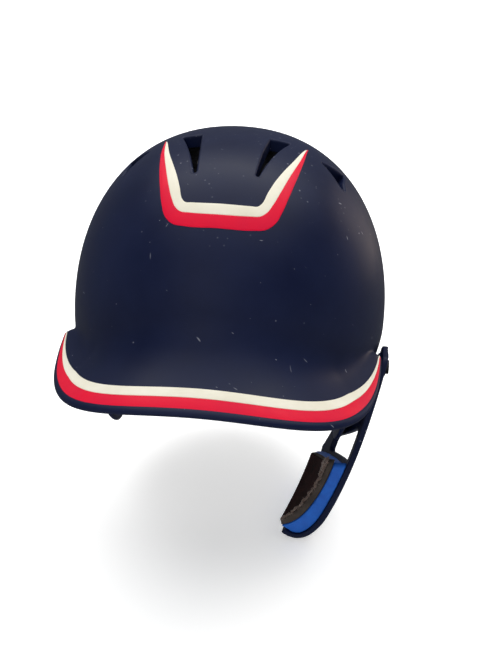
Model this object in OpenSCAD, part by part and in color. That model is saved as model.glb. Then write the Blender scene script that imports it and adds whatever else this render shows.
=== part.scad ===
// Batting helmet with a one-sided jaw guard bolted to the wearer's left.
// Millimetres, +Z up, -Y forward, +X towards the wearer's left.
// The origin is the middle of the shell's widest level.

/* [Shell] */
// Half of the shell's outside width
shell_half_width = 104; // [88:1:126]
// Height of the crown above the widest level
crown_height = 120; // [98:1:146]
// Origin to the front of the dome
front_length = 122; // [104:1:147]
// Origin to the back of the dome
back_length = 128; // [108:1:154]
// Thickness of the moulded shell
shell_wall = 3; // [2:0.1:4]

/* [Brim] */
// How far the brim reaches beyond the front of the dome
brim_reach = 40; // [30:1:50]
// Height of the brim's nose above the widest level
brim_nose_rise = 2; // [-6:1:8]
// Height at which the dome starts to sweep out into the brim
brim_root_height = 42; // [30:1:50]
// Downward slope of the brim at its nose, in degrees
brim_slope = 27; // [20:1:34]

/* [Ear flaps] */
// Depth of the ear flaps below the widest level
flap_drop = 96; // [84:1:112]
// How far each flap's tip tucks in from the widest level
flap_tuck = 24; // [16:1:28]
// Radius of the ear holes
ear_hole_radius = 15; // [10:0.5:18]
// Depth of the nape below the widest level
nape_drop = 52; // [42:1:62]

/* [Padding] */
// Thickness of the expanded foam liner
liner_thickness = 12; // [8:0.5:15]
// Thickness of the fabric-faced comfort pads
comfort_thickness = 6; // [4:0.5:8]
// Thickness of the ear pads
ear_pad_thickness = 13; // [9:0.5:16]
// Gap between one layer and the next
layer_gap = 0.3; // [0.2:0.05:0.6]

/* [Trim] */
// Width of the plain bead below the brim's stripes
bead_width = 3.8; // [3:0.2:8]
// Width of the lower stripe
lower_stripe_width = 7.5; // [4:0.1:9]
// Width of the upper stripe
upper_stripe_width = 6.7; // [4:0.1:9]
// Thickness of the vinyl stripes
vinyl_thickness = 0.3; // [0.2:0.05:0.5]

/* [Jaw guard] */
// Thickness of the guard's plate
guard_wall = 4; // [2.5:0.1:5]
// Clear space between the shell and the plate at the upper screw
guard_standoff = 1.6; // [1.4:0.1:2.5]
// Depth of the guard below the widest level
guard_drop = 136; // [128:1:150]
// Angle that the guard can be set through, each way, in degrees
guard_swing = 3; // [2:0.5:4]
// Thickness of the fabric that lines the jaw pad
lining_thickness = 1.2; // [0.8:0.1:2]

/* [Fasteners] */
// Radius of the screws' threaded shanks
screw_radius = 2.5; // [2:0.1:3]
// Clearance between a shank and its hole
screw_clearance = 0.1; // [0.05:0.05:0.3]
// Radius of the screws' heads
screw_head_radius = 4.6; // [4:0.1:5.6]
// Radius of the chin strap studs
stud_radius = 3.2; // [2.5:0.1:4]
// Height of the chin strap studs above their collars
stud_height = 3; // [2.5:0.1:4]

/* [Hidden] */

navy = [0.10, 0.12, 0.22];
red = [0.86, 0.12, 0.24];
cream = [0.95, 0.94, 0.87];
foam_black = [0.08, 0.08, 0.09];
fabric_brown = [0.16, 0.11, 0.10];
pad_grey = [0.24, 0.22, 0.20];
foam_blue = [0.10, 0.32, 0.66];
zinc = [0.16, 0.16, 0.17];

// ---- Curve of the dome ----
side_fullness = 0.84;
crown_fullness = 0.94;

// ---- Rim of the brim, the flap's front edge, the flap's tip and the nape ----
brim_end_angle = 60;
flap_tip_angle = 100;
brim_end = [shell_half_width - 3, 65 - front_length, -6];
brim_nose = [0, -front_length - brim_reach, brim_nose_rise];
brim_nose_handle = [62, 0, 0];
brim_end_handle = [0, -80, -22];
brim_turn = 26;
flap_tip = [shell_half_width - flap_tuck, 6, -flap_drop];
flap_front_handle = [0, -40, 0];
flap_back_handle = [0, 30, 0];
nape = [0, back_length - 4, -nape_drop];
nape_handle = [60, 0, 0];

function clamp01(t) = min(1, max(0, t));
function smooth(t) = let (c = clamp01(t)) c * c * (3 - 2 * c);
function unit(v) = v / norm(v);
function bezier(a, b, c, d, t) =
    pow(1 - t, 3) * a + 3 * pow(1 - t, 2) * t * b + 3 * (1 - t) * t * t * c + t * t * t * d;

// The rim at a bearing from 0 at the nose to 180 at the nape, on the +X side
function rim(a) =
    a <= brim_end_angle
        ? bezier(brim_nose, brim_nose + brim_nose_handle, brim_end + brim_end_handle, brim_end,
            a / brim_end_angle)
    : a <= flap_tip_angle
        ? bezier(brim_end, brim_end - unit(brim_end_handle) * brim_turn,
            flap_tip + flap_front_handle, flap_tip,
            (a - brim_end_angle) / (flap_tip_angle - brim_end_angle))
    : bezier(flap_tip, flap_tip + flap_back_handle, nape + nape_handle, nape,
        (a - flap_tip_angle) / (180 - flap_tip_angle));

// ---- Shell surface: v runs 0 to 1 down the dome and 1 to 2 down the skirt ----
function half_length(a) = a < 90 ? front_length : back_length;
function root_height(a) = brim_root_height * (1 - smooth(a / 75));
function dome_end(a) = acos(pow(root_height(a) / crown_height, 1 / crown_fullness));
function dome_point(a, ph) =
    let (s = pow(sin(ph), side_fullness))
    [shell_half_width * sin(a) * s,
        -half_length(a) * cos(a) * s,
        crown_height * pow(max(0, cos(ph)), crown_fullness)];
function brim_share(a) = 1 - smooth((a - 50) / 30);
function skirt_point(a, w) =
    let (
        end = dome_end(a),
        top = dome_point(a, end),
        down = unit(top - dome_point(a, end - 0.6)),
        low = rim(a),
        k = brim_share(a),
        slope = brim_slope + 11 * smooth(a / 60),
        flare = unit([sin(a) / shell_half_width, -cos(a) / half_length(a)]),
        lip = unit([flare.x * (cos(slope) * k - 0.12 * (1 - k)), flare.y * cos(slope) * k,
            -(sin(slope) * k + 1 - k)]),
        reach = abs(low.z) * (1 - k) / 3,
        half_chord = norm(low - top) / 2,
        top_handle = min((18 + root_height(a) / 4) * k + reach, half_chord),
        low_handle = min(23 * k + reach, half_chord)
    )
    bezier(top, top + down * top_handle, low - lip * low_handle, low, w);
function half_point(a, v) =
    v <= 1 ? dome_point(a, v * dome_end(a)) : skirt_point(a, v - 1);
function wrapped(b) = b > 180 ? b - 360 : b < -180 ? b + 360 : b;
function shell_point(bearing, v) =
    let (b = wrapped(bearing), p = half_point(abs(b), v))
    [b < 0 ? -p.x : p.x, p.y, p.z];

// The surface that the liner follows: the dome carried straight down behind the brim
function lined_half(a, v) =
    v <= 1 ? dome_point(a, 90 * v)
    : let (down = dome_point(a, 90) - [0, 0, 60 * (v - 1)], share = smooth((a - 66) / 10))
        down * (1 - share) + skirt_point(a, v - 1) * share;
function lined_point(bearing, v) =
    let (b = wrapped(bearing), p = lined_half(abs(b), v))
    [b < 0 ? -p.x : p.x, p.y, p.z];

shell_face = function(b, v) shell_point(b, v);
lined_face = function(b, v) lined_point(b, v);

// A point at distance d outside a face, at a bearing and a level
function lay(face, b, v, d) =
    face(b, v) + (v < 0.02 ? [0, 0, d]
        : d * unit(cross(face(b, min(2, v + 0.01)) - face(b, v - 0.01),
            face(b + 0.5, v) - face(b - 0.5, v))));

// Bearing and v of the outer surface's point at a given y and z on the +X side
function level_v(b, z, lo = 0.5, hi = 2, n = 14) =
    n == 0 ? (lo + hi) / 2
    : let (mid = (lo + hi) / 2)
        shell_point(b, mid).z > z ? level_v(b, z, mid, hi, n - 1) : level_v(b, z, lo, mid, n - 1);
function side_bearing(y, z, lo = 60, hi = 150, n = 14) =
    n == 0 ? (lo + hi) / 2
    : let (mid = (lo + hi) / 2)
        shell_point(mid, level_v(mid, z)).y < y
            ? side_bearing(y, z, mid, hi, n - 1) : side_bearing(y, z, lo, mid, n - 1);
function side_x(y, z) = let (b = side_bearing(y, z)) shell_point(b, level_v(b, z)).x;

// ---- Closed solids between two distances from the shell's outer surface ----
function quad(a, b, c, d) = [[a, b, c], [a, c, d]];

// A bowl from the crown down through the levels in vs
module bowl(face, vs, count, outer, inner) {
    rows = len(vs);
    ring = function(d) [for (v = vs) for (j = [0 : count - 1])
        lay(face, -180 + 360 * j / count, v, d)];
    skin = 1 + rows * count;
    at = function(side, i, j) side * skin + 1 + i * count + j % count;
    points = concat([lay(face, 0, 0, outer)], ring(outer), [lay(face, 0, 0, inner)], ring(inner));
    faces = [for (j = [0 : count - 1]) each concat(
        [[0, at(0, 0, j + 1), at(0, 0, j)], [skin, at(1, 0, j), at(1, 0, j + 1)]],
        [for (i = [0 : rows - 2]) each concat(
            quad(at(0, i, j), at(0, i, j + 1), at(0, i + 1, j + 1), at(0, i + 1, j)),
            quad(at(1, i, j + 1), at(1, i, j), at(1, i + 1, j), at(1, i + 1, j + 1)))],
        quad(at(0, rows - 1, j), at(0, rows - 1, j + 1), at(1, rows - 1, j + 1), at(1, rows - 1, j)))];
    polyhedron(points, faces, convexity = 8);
}

// A closed solid over a grid of points, thick between two skins
module slab(outer, inner) {
    rows = len(outer);
    cols = len(outer[0]);
    skin = rows * cols;
    at = function(side, i, j) side * skin + i * cols + j;
    points = [for (s = [outer, inner]) for (r = s) each r];
    faces = concat(
        [for (i = [0 : rows - 2]) for (j = [0 : cols - 2]) each concat(
            quad(at(0, i, j), at(0, i, j + 1), at(0, i + 1, j + 1), at(0, i + 1, j)),
            quad(at(1, i, j + 1), at(1, i, j), at(1, i + 1, j), at(1, i + 1, j + 1)))],
        [for (j = [0 : cols - 2]) each concat(
            quad(at(1, 0, j), at(1, 0, j + 1), at(0, 0, j + 1), at(0, 0, j)),
            quad(at(0, rows - 1, j), at(0, rows - 1, j + 1), at(1, rows - 1, j + 1), at(1, rows - 1, j)))],
        [for (i = [0 : rows - 2]) each concat(
            quad(at(1, i + 1, 0), at(1, i, 0), at(0, i, 0), at(0, i + 1, 0)),
            quad(at(0, i + 1, cols - 1), at(0, i, cols - 1), at(1, i, cols - 1), at(1, i + 1, cols - 1)))]);
    polyhedron(points, faces, convexity = 6);
}

// A pad that follows a face between two bearings and two levels
module face_pad(face, b0, b1, v0, v1, outer, inner, cols, rows) {
    grid = function(d) [for (i = [0 : rows])
        [for (j = [0 : cols]) lay(face, b0 + (b1 - b0) * j / cols, v0 + (v1 - v0) * i / rows, d)]];
    slab(grid(outer), grid(inner));
}

// ---- Depths of the layers below the shell's outer surface ----
liner_outer = -shell_wall - layer_gap;
liner_inner = liner_outer - liner_thickness;
comfort_outer = liner_inner - layer_gap;
comfort_inner = comfort_outer - comfort_thickness;
ear_pad_inner = liner_outer - ear_pad_thickness;

// ---- Vents: corners in plan on the wearer's left, mirrored on the right ----
top_vent = [[34.4, -4], [22, -6.5], [19.6, -32], [17.8, -59], [19.2, -59], [25, -37]];
side_vent = [[55, -10], [70, 3], [69.5, -12], [70.5, -22], [68, -22.5]];
rear_vent = [[22, 56], [36, 50], [34, 72], [27, 92], [25, 92]];
side_vent_tilt = 38;

// Height of the dome's outer surface over a point in plan
function dome_height(p) =
    let (b = p.y < 0 ? front_length : back_length,
        rho = min(1, norm([p.x / shell_half_width, p.y / b])))
    crown_height * pow(1 - pow(rho, 2 / side_fullness), crown_fullness / 2);
function centre_of(pts) = [for (i = [0, 1]) [for (p = pts) p[i]] * [for (p = pts) 1] / len(pts)];
function grown(pts, k) = let (c = centre_of(pts)) [for (p = pts) c + (p - c) * k];
// Corners seen along an axis that leans towards +X by the tilt
function leaned(pts, tilt) =
    [for (p = pts) [p.x * cos(tilt) - dome_height(p) * sin(tilt), p.y]];

module vent_cutters(growth = 1) {
    far = crown_height + 60;
    for (side = [0, 1]) mirror([side, 0, 0]) {
        linear_extrude(far) polygon(grown(top_vent, growth));
        linear_extrude(far) polygon(grown(rear_vent, growth));
        rotate([0, side_vent_tilt, 0])
            linear_extrude(far) polygon(leaned(grown(side_vent, growth), side_vent_tilt));
    }
}

// ---- Ear holes ----
ear_hole = [22, -50];
module ear_hole_cutters(radius) {
    for (side = [-1, 1])
        translate([side * (shell_half_width - 30), ear_hole.x, ear_hole.y])
            rotate([0, side * 90, 0]) cylinder(r = radius, h = 60, $fn = 64);
}

// ---- Screws: y and z of the guard's pivot and of its two slotted screws ----
pivot_seat = [2, -80];
upper_seat = [-34, -20];
middle_seat = [-20, -52];
slot_seats = [upper_seat, middle_seat];
seats = concat([pivot_seat], slot_seats);
nut_radius = screw_radius + screw_clearance + 1;
nut_flange_radius = 6.5;
nut_flange = 1.2;

// The shell's outer face at a seat and round it: its highest and lowest x within a radius
function seat_ring(s, radius) = [for (r = [0, radius]) for (a = [0 : 45 : 315])
    side_x(s.x + r * cos(a), s.y + r * sin(a))];
function seat_top(s, radius) = max(seat_ring(s, radius)) + 0.2;
function seat_under(s, radius) = min(seat_ring(s, radius)) - shell_wall * 1.1 - 0.3;

// A solid of revolution about X at a seat, from one x to another
module along_x(seat, x0, x1, radius) {
    translate([x0, seat.x, seat.y])
        rotate([0, 90, 0]) cylinder(r = radius, h = x1 - x0, $fn = 48);
}

module outer_shell() {
    levels = concat([for (i = [1 : 11]) i / 11], [for (i = [1 : 10]) 1 + i / 10]);
    color(navy) difference() {
        bowl(shell_face, levels, 90, 0, -shell_wall);
        vent_cutters();
        ear_hole_cutters(ear_hole_radius);
        for (s = seats)
            along_x(s, shell_half_width - 60, shell_half_width + 20, nut_radius + screw_clearance);
        for (side = [-1, 1])
            translate([side * (shell_half_width - 30), stud_seat.x, stud_seat.y])
                rotate([0, side * 90, 0])
                    cylinder(r = stud_post_radius + screw_clearance, h = 60, $fn = 32);
    }
}

// ---- Stripes along the brim: distances are measured up from the rim ----
stripe_end_angle = 66;
stripe_full_angle = 38;
function stripe_taper(b) =
    max(0.08, 1 - pow(max(0, abs(b) - stripe_full_angle) / (stripe_end_angle - stripe_full_angle), 2.2));
function rim_level(up) = 2 - up / 62;
module brim_stripe(low, high) {
    cols = 56;
    grid = function(d) [for (up = [high, low])
        [for (j = [0 : cols])
            let (b = stripe_end_angle * (2 * j / cols - 1))
            lay(shell_face, b, rim_level(bead_width + (up - bead_width) * stripe_taper(b)), d)]];
    slab(grid(0.15 + vinyl_thickness), grid(0.15));
}
module brim_stripe_red() {
    color(red) brim_stripe(bead_width, bead_width + lower_stripe_width);
}
module brim_stripe_white() {
    low = bead_width + lower_stripe_width;
    color(cream) brim_stripe(low + 0.05, low + upper_stripe_width);
}

// ---- Crown decal: half outlines in plan from the middle to the tip ----
decal_outer = [[0, -93], [19, -91], [27, -88], [32, -83], [35, -76], [38, -65], [41.3, -49],
    [43.8, -31], [45.8, -2]];
decal_middle = [[0, -87], [17, -85.2], [23, -83.4], [26.5, -80.2], [29.3, -74.9], [33, -64.8],
    [37.1, -50.2], [41.5, -31], [45, -4]];
decal_inner = [[0, -81.5], [17, -80], [21, -79], [22.5, -77.5], [25.7, -69], [28.6, -60.5],
    [32, -51], [37.5, -34.5], [44, -6]];
function mirrored_line(pts) = concat(
    [for (i = [len(pts) - 1 : -1 : 1]) [-pts[i].x, pts[i].y]], pts);
function split_line(pts, n) = concat([for (i = [0 : len(pts) - 2]) for (k = [0 : n - 1])
    pts[i] + (pts[i + 1] - pts[i]) * k / n], [pts[len(pts) - 1]]);
function on_dome(p, d) =
    let (h = 0.5, z = dome_height(p),
        dx = [2 * h, 0, dome_height(p + [h, 0]) - dome_height(p - [h, 0])],
        dy = [0, 2 * h, dome_height(p + [0, h]) - dome_height(p - [0, h])])
    [p.x, p.y, z] + unit(cross(dx, dy)) * d;
module crown_decal(outer, inner) {
    a = mirrored_line(split_line(outer, 3));
    b = mirrored_line(split_line(inner, 3));
    grid = function(d) [[for (p = b) on_dome(p, d)], [for (p = a) on_dome(p, d)]];
    slab(grid(0.15 + vinyl_thickness), grid(0.15));
}
module crown_decal_red() {
    color(red) crown_decal(decal_outer, decal_middle);
}
module crown_decal_white() {
    color(cream) crown_decal([for (p = decal_middle) p + [0, 0.06]], decal_inner);
}

// ---- Liner of expanded foam ----
seam = 1;
module liner_crown() {
    color(foam_black) difference() {
        bowl(lined_face, [for (i = [1 : 5]) 0.44 * i / 5], 36, liner_outer, liner_inner);
        vent_cutters(1.12);
    }
}
module liner_front() {
    color(foam_black)
        face_pad(lined_face, -53 + seam, 53 - seam, 0.47, 1.14, liner_outer, liner_inner, 16, 7);
}
module liner_side(flip) {
    color(foam_black) mirror([flip, 0, 0])
        face_pad(lined_face, 53 + seam, 125 - seam, 0.47, 1.08, liner_outer, liner_inner, 12, 8);
}
module liner_left() {
    liner_side(0);
}
module liner_right() {
    liner_side(1);
}
module liner_rear() {
    color(foam_black)
        face_pad(lined_face, 125 + seam, 235 - seam, 0.47, 1.5, liner_outer, liner_inner, 18, 10);
}

// ---- Comfort pads ----
module brow_pad() {
    color(fabric_brown)
        face_pad(lined_face, -42, 42, 0.78, 1.12, comfort_outer, comfort_inner, 14, 4);
}
module crown_pad() {
    color(fabric_brown) bowl(lined_face, [0.05, 0.1, 0.14], 24, comfort_outer, comfort_inner);
}
module side_pad(flip) {
    color(fabric_brown) mirror([flip, 0, 0])
        face_pad(lined_face, 60, 118, 0.68, 1.06, comfort_outer, comfort_inner, 10, 4);
}
module side_pad_left() {
    side_pad(0);
}
module side_pad_right() {
    side_pad(1);
}
module nape_pad() {
    color(fabric_brown)
        face_pad(lined_face, 140, 220, 1.05, 1.42, comfort_outer, comfort_inner, 12, 4);
}

// ---- Ear pads, each with a hole for the ear and pockets over the nuts ----
module ear_pad(flip) {
    color(foam_black) mirror([flip, 0, 0]) difference() {
        face_pad(shell_face, 86, 124, 1.16, 1.93, liner_outer, ear_pad_inner, 10, 8);
        translate([shell_half_width - 60, ear_hole.x, ear_hole.y])
            rotate([0, 90, 0]) cylinder(r = ear_hole_radius + 3, h = 80, $fn = 64);
        if (flip == 0) for (s = [pivot_seat, middle_seat])
            along_x(s, nut_flange_x(s) - 2.5, shell_half_width, nut_flange_radius + 1);
        along_x(stud_seat, stud_back_x() - stud_back - 1.5, shell_half_width, stud_collar_radius + 1);
    }
}
module ear_pad_left() {
    ear_pad(0);
}
module ear_pad_right() {
    ear_pad(1);
}

// ---- Jaw guard: its section in x and z, carried round a wide arc in plan ----
guard_bow = 300;
guard_bow_y = -25;
guard_top_x = shell_half_width - 0.7 + guard_standoff + guard_wall - 1.6;
guard_low = -guard_drop;
section_a = [[guard_top_x, -8], [guard_top_x - 5, -43], [guard_top_x - 14.5, -84],
    [guard_top_x - 26.5, guard_low + 24]];
section_b = [[guard_top_x - 26.5, guard_low + 24], [guard_top_x - 32.5, guard_low + 10],
    [guard_top_x - 43.5, guard_low - 11], [guard_top_x - 57.5, guard_low + 4]];
foam_face = [[guard_top_x - 25.6, -68], [guard_top_x - 28, -92],
    [guard_top_x - 42.8, guard_low + 13], [guard_top_x - 58, guard_low + 9]];
pad_face = [[guard_top_x - 29, -64], [guard_top_x - 31.5, -90],
    [guard_top_x - 44.5, guard_low + 22], [guard_top_x - 60.5, guard_low + 13]];

function along(c, t) = bezier(c[0], c[1], c[2], c[3], t);
function guard_section(u) = u <= 1 ? along(section_a, u) : along(section_b, u - 1);
// The section moved inwards by a depth, on the side of the wearer's face
function inset(f, u, depth) =
    let (t = unit(f(u + 0.001) - f(u - 0.001))) f(u) - [-t.y, t.x] * depth;
section_steps = [for (i = [0 : 8]) i / 8, for (i = [1 : 10]) 1 + i / 10];
function guard_line(depth) =
    [for (u = section_steps) inset(function(q) guard_section(q), min(u, 1.999), depth)];
function face_line(c, depth) =
    [for (i = [0 : 12]) inset(function(q) along(c, q), min(max(i / 12, 0.001), 0.999), depth)];
function back_to_front(pts) = [for (i = [len(pts) - 1 : -1 : 0]) pts[i]];

// A layer of the guard between two lines of the section
module guard_band(outer, inner) {
    translate([guard_top_x - guard_bow, guard_bow_y, 0])
        rotate([0, 0, -15]) rotate_extrude(angle = 30, $fn = 180)
            translate([guard_bow - guard_top_x, 0]) polygon(concat(outer, back_to_front(inner)));
}

// An outline with each corner rounded by an arc: each entry is y, z and radius
function rounded(corners, steps = 5) =
    [for (i = [0 : len(corners) - 1])
        let (n = len(corners), c = corners[i],
            p = [c[0], c[1]],
            prev = corners[(i + n - 1) % n],
            next = corners[(i + 1) % n],
            d0 = unit([prev[0], prev[1]] - p),
            d1 = unit([next[0], next[1]] - p),
            half = acos(max(-1, min(1, d0 * d1))) / 2,
            mid = p + unit(d0 + d1) * c[2] / sin(half),
            a0 = atan2((p + d0 * c[2] / tan(half) - mid).y, (p + d0 * c[2] / tan(half) - mid).x),
            a1 = atan2((p + d1 * c[2] / tan(half) - mid).y, (p + d1 * c[2] / tan(half) - mid).x),
            sweep = (a1 - a0 + 540) % 360 - 180)
        for (k = [0 : steps])
            mid + c[2] * [cos(a0 + sweep * k / steps), sin(a0 + sweep * k / steps)]];

guard_outline = [[-47, -8.5, 5], [-23, -8.5, 5], [-21, -36, 12], [-4, -62, 14], [22, -74, 10],
    [24, guard_low + 12, 9], [-34, guard_low - 6, 6], [-64, guard_low - 6, 10],
    [-71, guard_low + 18, 20], [-64, -76, 60], [-53, -38, 60]];
guard_window = [[-43, -62, 4], [-27, -72, 5], [12, -100, 4], [8, -110, 4], [-52, -84, 5]];
foam_outline = [[-63.5, -75.5, 3], [-52, -86, 6], [12, -113.5, 4], [15, guard_low + 11, 5],
    [-36, guard_low - 5, 6], [-62.5, guard_low - 5, 8], [-69.5, guard_low + 18, 20]];
pad_outline = [[-62.5, -73.5, 3], [-51, -85.5, 6], [10, -112.5, 4], [12, guard_low + 11, 5],
    [-36, guard_low - 3, 6], [-62, guard_low - 3, 8], [-69, guard_low + 18, 20]];

// The guard's lower edge runs outwards to the rear, as a jaw does: all that is inside this is cut
jaw_spread = 0.28;
jaw_inner_x = 46;
function jaw_line_x(y) = jaw_inner_x + jaw_spread * (y + 65);
module jaw_room() {
    translate([0, 0, guard_low - 30]) linear_extrude(90)
        polygon([[0, -90], [jaw_line_x(-90), -90], [jaw_line_x(60), 60], [0, 60]]);
}

module side_prism(outline) {
    rotate([90, 0, 90]) linear_extrude(shell_half_width + 40) polygon(rounded(outline));
}

// x of the plate's outer face at a y and z on its upper part
upper_line = [for (i = [0 : 24]) let (p = along(section_a, 1 - i / 24)) [p.y, p.x]];
function plate_x(y, z) =
    let (r = lookup(z, upper_line) - guard_top_x + guard_bow)
    guard_top_x - guard_bow + sqrt(r * r - pow(y - guard_bow_y, 2));

// x of the flat faces of the plate's bosses at a seat
boss_radius = screw_head_radius + 4.2;
boss_rise = -0.2;
boss_sink = 0.8;
function boss_outer_x(s) = plate_x(s.x, s.y) + boss_rise;
function boss_inner_x(s) = plate_x(s.x, s.y) - guard_wall - boss_sink;

hole_radius = screw_radius + screw_clearance;
slot_play = 0.6;

// A slot along an arc about the pivot, long enough for the guard's swing
module arc_slot(seat) {
    arm = seat - pivot_seat;
    reach = norm(arm);
    half_angle = guard_swing + slot_play + atan(hole_radius / reach);
    translate([boss_inner_x(seat) - 5, pivot_seat.x, pivot_seat.y])
        rotate([90, 0, 90]) rotate([0, 0, atan2(arm.y, arm.x) - half_angle])
            rotate_extrude(angle = 2 * half_angle, $fn = 96)
                translate([reach - hole_radius, 0]) square([2 * hole_radius, guard_wall + 14]);
}

module jaw_guard_plate() {
    moat = 1;
    step = 0.25;
    color(navy) difference() {
        union() {
            difference() {
                intersection() {
                    guard_band(guard_line(0), guard_line(guard_wall));
                    side_prism(guard_outline);
                }
                side_prism(guard_window);
                jaw_room();
                for (s = seats) {
                    along_x(s, boss_outer_x(s) - step, boss_outer_x(s) + 8, boss_radius + moat);
                    along_x(s, boss_inner_x(s) - 8, boss_inner_x(s) + step, boss_radius + moat);
                }
            }
            for (s = seats) along_x(s, boss_inner_x(s), boss_outer_x(s), boss_radius);
        }
        along_x(pivot_seat, boss_inner_x(pivot_seat) - 5, boss_outer_x(pivot_seat) + 5, hole_radius);
        for (s = slot_seats) arc_slot(s);
    }
}

guard_gap = 0.15;
module jaw_foam() {
    color(foam_blue) difference() {
        intersection() {
            guard_band(guard_line(guard_wall + guard_gap), face_line(foam_face, 0));
            side_prism(foam_outline);
        }
        jaw_room();
    }
}
module jaw_pad() {
    color(pad_grey) difference() {
        intersection() {
            guard_band(face_line(foam_face, guard_gap), face_line(pad_face, 0));
            side_prism(pad_outline);
        }
        jaw_room();
    }
}
module jaw_pad_lining() {
    color(fabric_brown) difference() {
        intersection() {
            guard_band(face_line(pad_face, guard_gap), face_line(pad_face, guard_gap + lining_thickness));
            side_prism(pad_outline);
        }
        jaw_room();
    }
}

// ---- Screws, washers, spacers and tee nuts ----
washer = 0.8;
head_height = 2;
function nut_flange_x(s) = seat_under(s, nut_flange_radius);
function washer_x(s) = boss_outer_x(s) + 0.03;
function head_x(s) = washer_x(s) + washer + 0.02;

module screw(s) {
    difference() {
        union() {
            along_x(s, head_x(s), head_x(s) + head_height, screw_head_radius);
            along_x(s, nut_flange_x(s) - nut_flange, head_x(s) + 0.01, screw_radius);
        }
        for (turn = [0, 90])
            translate([head_x(s) + head_height, s.x, s.y]) rotate([turn, 0, 0])
                cube([2.4, 5.4, 1.1], center = true);
    }
}
module pivot_screw() {
    color(zinc) screw(pivot_seat);
}
module clamp_screws() {
    color(zinc) for (s = slot_seats) screw(s);
}
module screw_washers() {
    color(zinc) for (s = seats) difference() {
        along_x(s, washer_x(s), washer_x(s) + washer, screw_head_radius + 1.2);
        along_x(s, washer_x(s) - 1, washer_x(s) + washer + 1, hole_radius);
    }
}
// Rubber rings that hold the plate off the shell
spacer_radius = hole_radius + 2.4;
module guard_spacers() {
    color([0.12, 0.12, 0.12]) for (s = seats) difference() {
        along_x(s, seat_top(s, spacer_radius), boss_inner_x(s) - 0.05, spacer_radius);
        along_x(s, seat_top(s, spacer_radius) - 5, boss_inner_x(s) + 5, hole_radius);
    }
}
module tee_nuts() {
    color(zinc) for (s = seats) difference() {
        union() {
            along_x(s, nut_flange_x(s), side_x(s.x, s.y) - 0.3, nut_radius);
            along_x(s, nut_flange_x(s) - nut_flange, nut_flange_x(s), nut_flange_radius);
        }
        along_x(s, nut_flange_x(s) - 5, shell_half_width + 5, hole_radius);
    }
}

// ---- Chin strap studs, one on each flap behind the ear hole ----
stud_seat = [46, -58];
stud_post_radius = 2;
stud_collar_radius = 5.5;
stud_collar = 1.2;
stud_back = 1.2;
stud_bore_radius = stud_post_radius - 0.8;
function stud_x() = seat_top(stud_seat, stud_collar_radius);
function stud_back_x() = seat_under(stud_seat, stud_collar_radius);
module strap_studs() {
    color(zinc) for (side = [0, 1]) mirror([side, 0, 0]) {
        along_x(stud_seat, stud_x(), stud_x() + stud_collar, stud_collar_radius);
        along_x(stud_seat, stud_x() + stud_collar - 0.01, stud_x() + stud_collar + stud_height,
            stud_radius);
        along_x(stud_seat, stud_back_x() + 0.1, stud_x() + 0.01, stud_post_radius);
    }
}
module strap_stud_backs() {
    color(zinc) for (side = [0, 1]) mirror([side, 0, 0]) difference() {
        along_x(stud_seat, stud_back_x() - stud_back, stud_back_x(), stud_collar_radius);
        along_x(stud_seat, stud_back_x() - 5, stud_back_x() + 1, stud_bore_radius);
    }
}

outer_shell();
brim_stripe_red();
brim_stripe_white();
crown_decal_red();
crown_decal_white();
liner_front();
liner_crown();
liner_left();
liner_right();
liner_rear();
brow_pad();
crown_pad();
side_pad_left();
side_pad_right();
nape_pad();
ear_pad_left();
ear_pad_right();
jaw_guard_plate();
jaw_foam();
jaw_pad();
jaw_pad_lining();
guard_spacers();
screw_washers();
pivot_screw();
clamp_screws();
tee_nuts();
strap_studs();
strap_stud_backs();
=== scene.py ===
"""Looks of a batting helmet with a jaw guard bolted to the wearer's left.

Shapes are worked out in millimetres, +Z up, -Y forward, +X to the wearer's left, and stored in metres.
"""
import math

import bmesh
import bpy
import numpy as np
from mathutils import Matrix, Vector


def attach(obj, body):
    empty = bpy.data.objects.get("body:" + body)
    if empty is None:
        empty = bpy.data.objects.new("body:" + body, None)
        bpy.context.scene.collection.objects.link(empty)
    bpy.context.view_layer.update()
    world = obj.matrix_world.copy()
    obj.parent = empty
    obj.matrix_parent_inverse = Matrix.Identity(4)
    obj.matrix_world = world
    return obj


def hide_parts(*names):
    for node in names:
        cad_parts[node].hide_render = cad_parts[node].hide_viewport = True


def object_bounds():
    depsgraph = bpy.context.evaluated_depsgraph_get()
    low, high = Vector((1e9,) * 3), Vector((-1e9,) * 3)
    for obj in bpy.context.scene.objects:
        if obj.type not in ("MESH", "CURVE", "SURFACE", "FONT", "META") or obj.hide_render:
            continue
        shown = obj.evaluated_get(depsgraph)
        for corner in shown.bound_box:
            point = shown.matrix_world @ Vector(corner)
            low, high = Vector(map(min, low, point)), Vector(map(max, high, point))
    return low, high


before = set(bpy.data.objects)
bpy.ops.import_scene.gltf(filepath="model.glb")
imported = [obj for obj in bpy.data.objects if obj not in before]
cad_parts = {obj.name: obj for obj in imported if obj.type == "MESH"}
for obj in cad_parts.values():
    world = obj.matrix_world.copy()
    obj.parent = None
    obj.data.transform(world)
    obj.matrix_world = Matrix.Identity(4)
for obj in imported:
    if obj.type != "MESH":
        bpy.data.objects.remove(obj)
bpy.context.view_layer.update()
rng = np.random.default_rng(7)

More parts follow.
